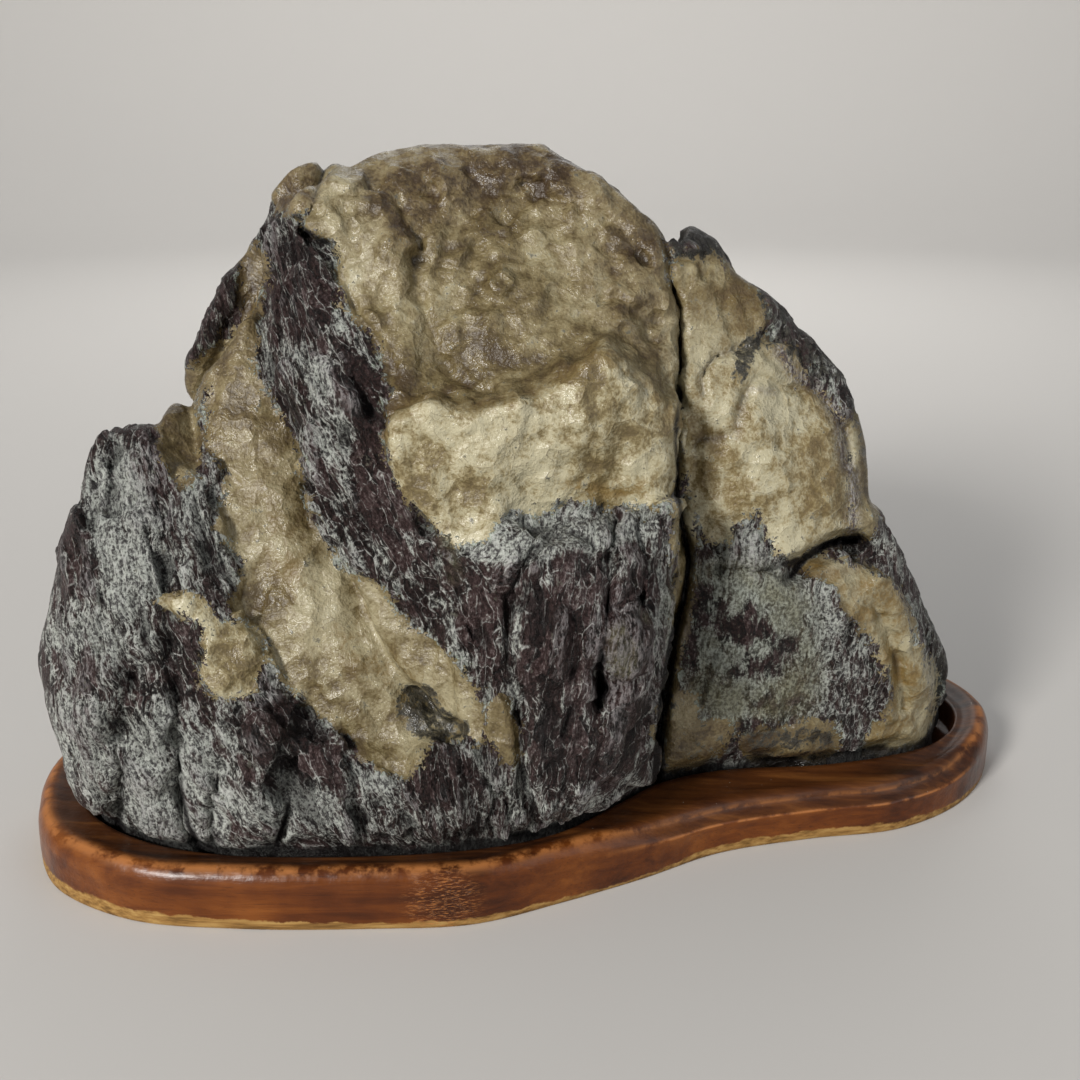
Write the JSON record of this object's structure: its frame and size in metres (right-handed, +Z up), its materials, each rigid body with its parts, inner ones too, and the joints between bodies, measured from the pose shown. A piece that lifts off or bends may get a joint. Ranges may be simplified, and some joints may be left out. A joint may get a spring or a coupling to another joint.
{
  "type": "scholars rock on a carved stand",
  "caption": "Mountain-shaped natural viewing stone of dark schist and buff quartz, set in a low carved wooden tray stand.",
  "frame": {"origin": "on the surface the stand rests on, below the centre of the whole piece's box", "axes": "+Z up, +X along the long side to the right of a viewer facing the display side, +Y away from that viewer; the display side faces -Y"},
  "size_m": [0.308, 0.151, 0.202],
  "materials": {
    "stone": "satin",
    "wood": "satin"
  },
  "bodies": {
    "root": {"stand": "wood", "stone": "stone"}
  },
  "joints": []
}
